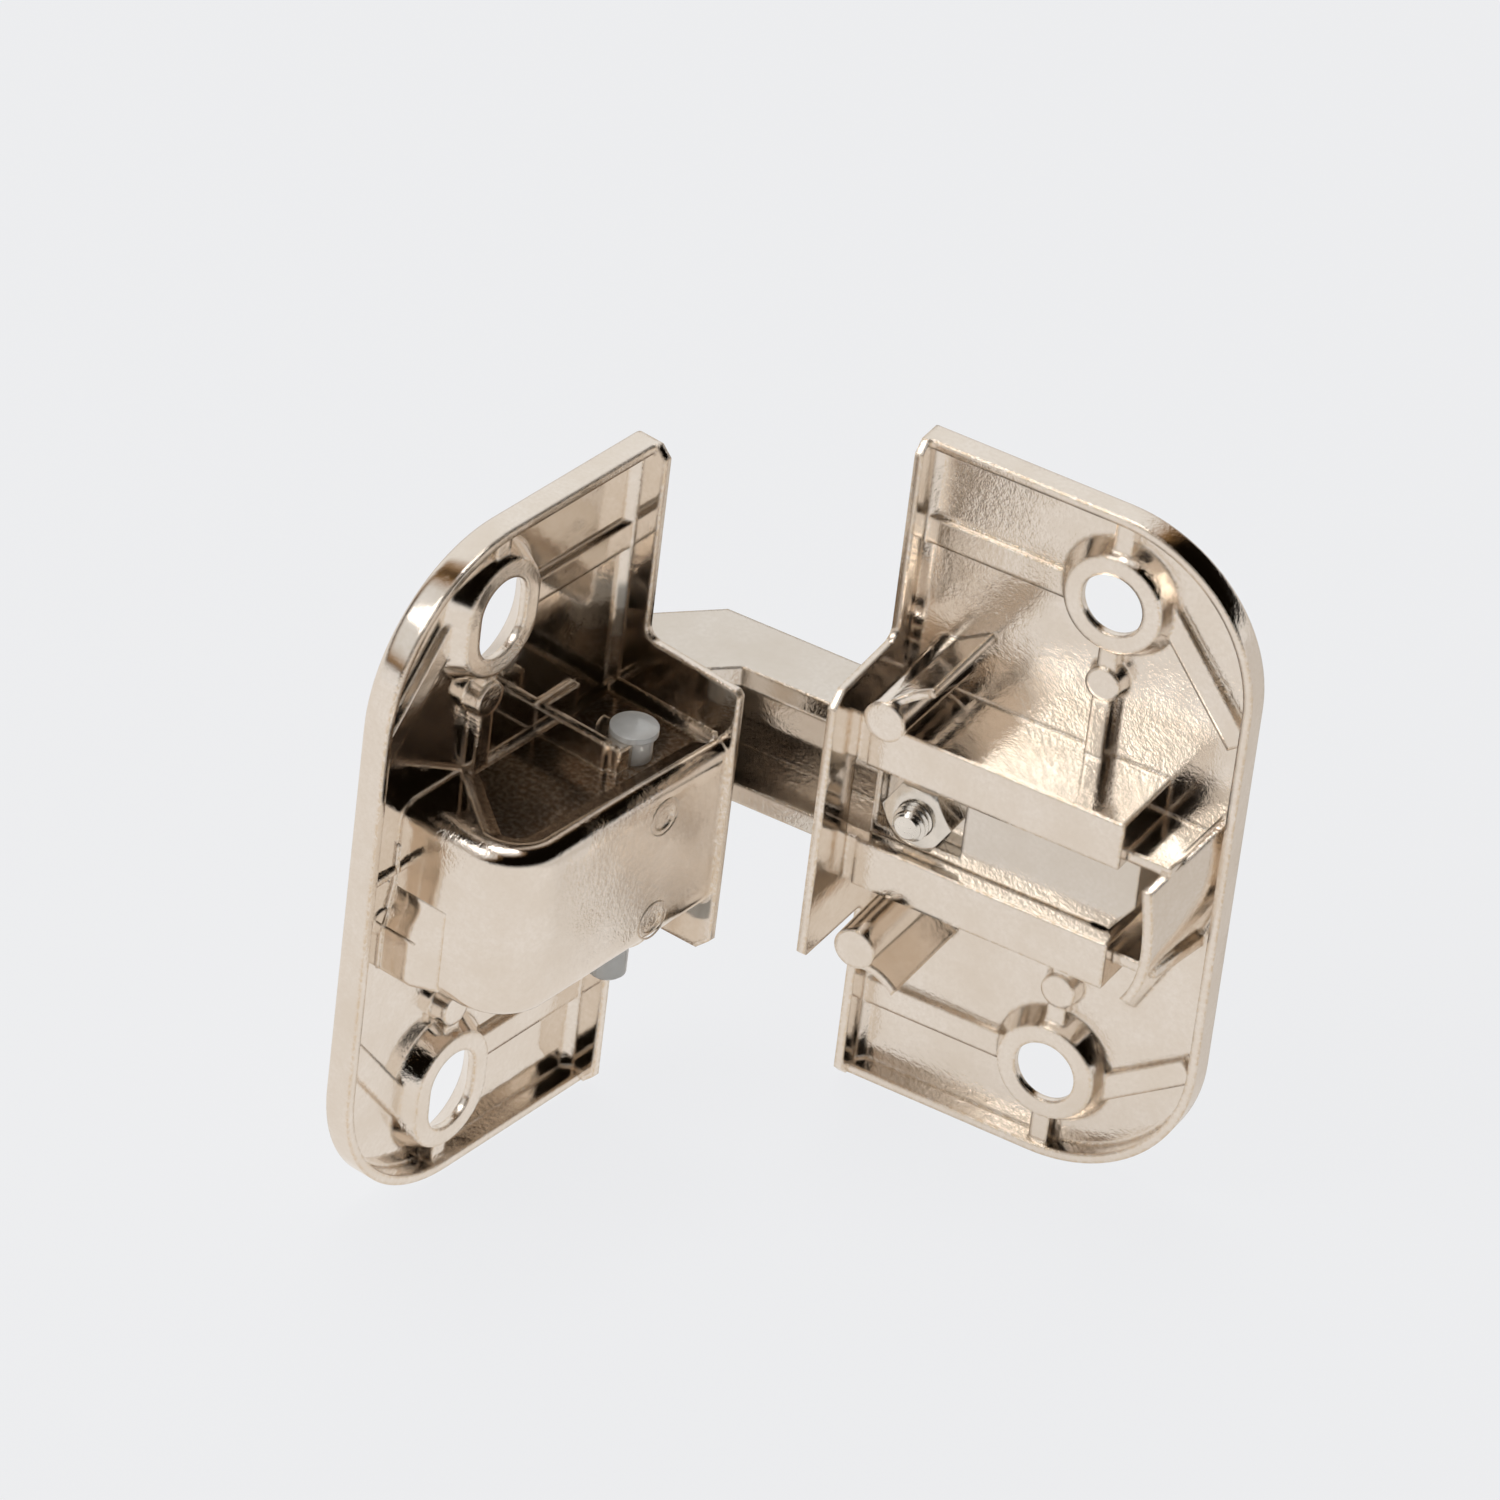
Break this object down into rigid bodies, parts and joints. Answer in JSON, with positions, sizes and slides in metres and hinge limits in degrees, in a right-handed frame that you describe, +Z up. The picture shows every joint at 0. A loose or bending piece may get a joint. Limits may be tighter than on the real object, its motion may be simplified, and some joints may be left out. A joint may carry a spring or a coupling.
{
  "type": "concealed door hinge",
  "caption": "Concealed hinge: two D-shaped die-cast housings with back flanges, joined by a cranked arm that slides in one and pivots on a pin in the other's pocket.",
  "frame": {"origin": "midway between the slide housing's two screw holes, in the plane of the backs of their bosses, on which it seats", "axes": "+Z up along the hinge pin; +X across the slide housing from its flange towards its round end; +Y out of its finished face, away from the arm"},
  "size_m": [0.0701, 0.0603, 0.08],
  "materials": {
    "plated_zinc": "nickel plated zinc die casting, satin to polished",
    "plated_arm": "nickel plated zinc die casting, satin",
    "zinc_steel": "zinc plated steel"
  },
  "bodies": {
    "slide_side": {"slide_housing": "plated_zinc"},
    "arm": {"hinge_arm": "plated_arm"},
    "pivot_side": {"pivot_housing": "plated_zinc", "pivot_pin": "zinc_steel"},
    "screw": {"clamp_screw": "zinc_steel"},
    "nut": {"clamp_nut": "zinc_steel"}
  },
  "joints": [
    {"name": "arm_slide", "type": "slide", "parent": "slide_side", "child": "arm", "axis": [1, 0, 0], "range_m": [-0.00075, 0.00075]},
    {"name": "door_swing", "type": "hinge", "parent": "arm", "child": "pivot_side", "pos_m": [-0.03803, -0.02693, 0], "axis": [0, 0, 1], "range_deg": [-80, 29]},
    {"name": "screw_turn", "type": "hinge", "parent": "slide_side", "child": "screw", "pos_m": [-0.0152, 0, 0], "axis": [0, 1, 0], "range_deg": [0, 720]},
    {"name": "nut_travel", "type": "slide", "parent": "slide_side", "child": "nut", "axis": [0, -1, 0], "range_m": [0, 0.0014]}
  ],
  "couplings": [
    {"joint": "screw_turn", "follows": "nut_travel", "rad_per_m": 8976}
  ]
}
